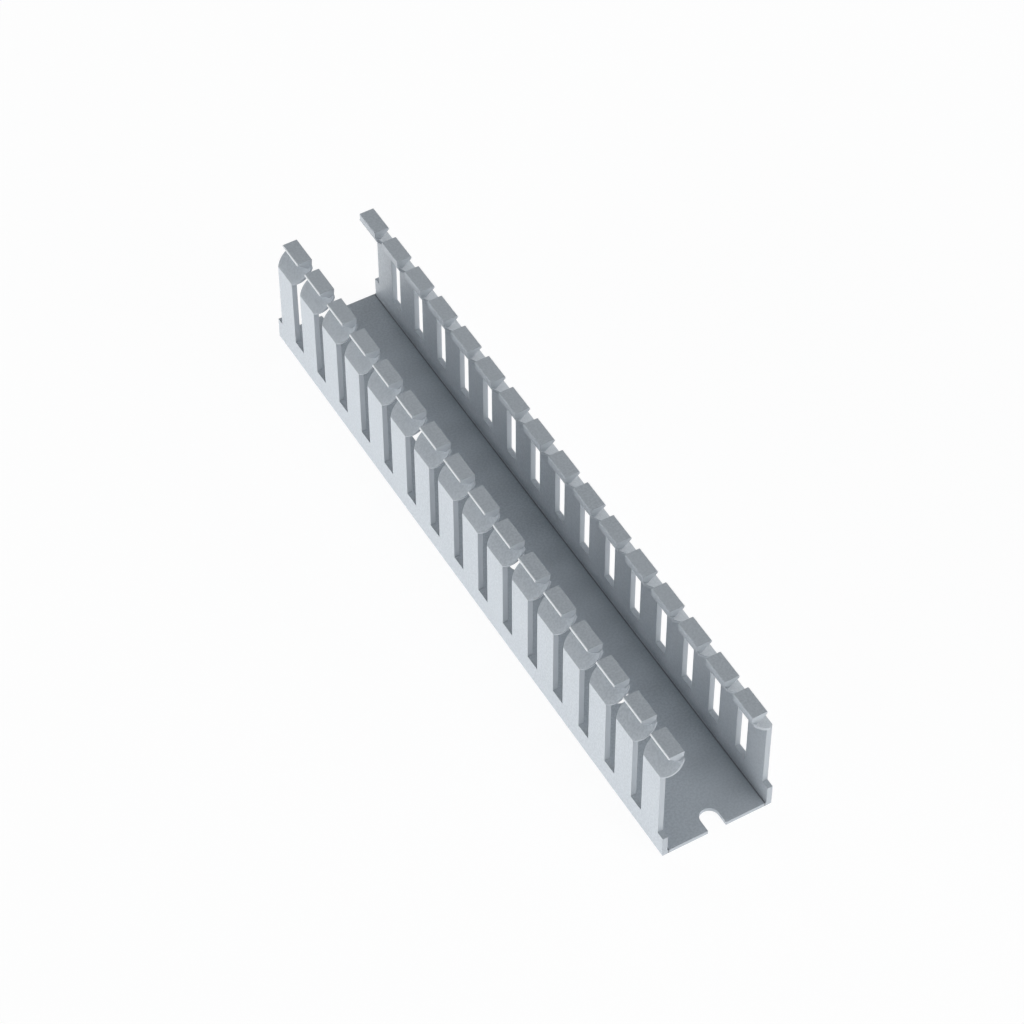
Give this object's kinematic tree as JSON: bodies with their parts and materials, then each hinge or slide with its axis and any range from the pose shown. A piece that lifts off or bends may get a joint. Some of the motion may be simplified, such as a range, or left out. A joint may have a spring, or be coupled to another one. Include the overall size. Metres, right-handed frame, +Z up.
{
  "type": "slotted wire duct",
  "caption": "Short length of open slotted wiring duct: flat base with slotted mounting holes, two walls of upright fingers with round, inward-leaning heads, open top.",
  "frame": {"origin": "centre of the underside of the base", "axes": "+Z up out of the base, +Y along the duct, +X across it"},
  "size_m": [0.0316, 0.2, 0.0364],
  "materials": {
    "pvc_grey": "satin grey rigid PVC"
  },
  "bodies": {
    "root": {"duct_body": "pvc_grey"}
  },
  "joints": []
}
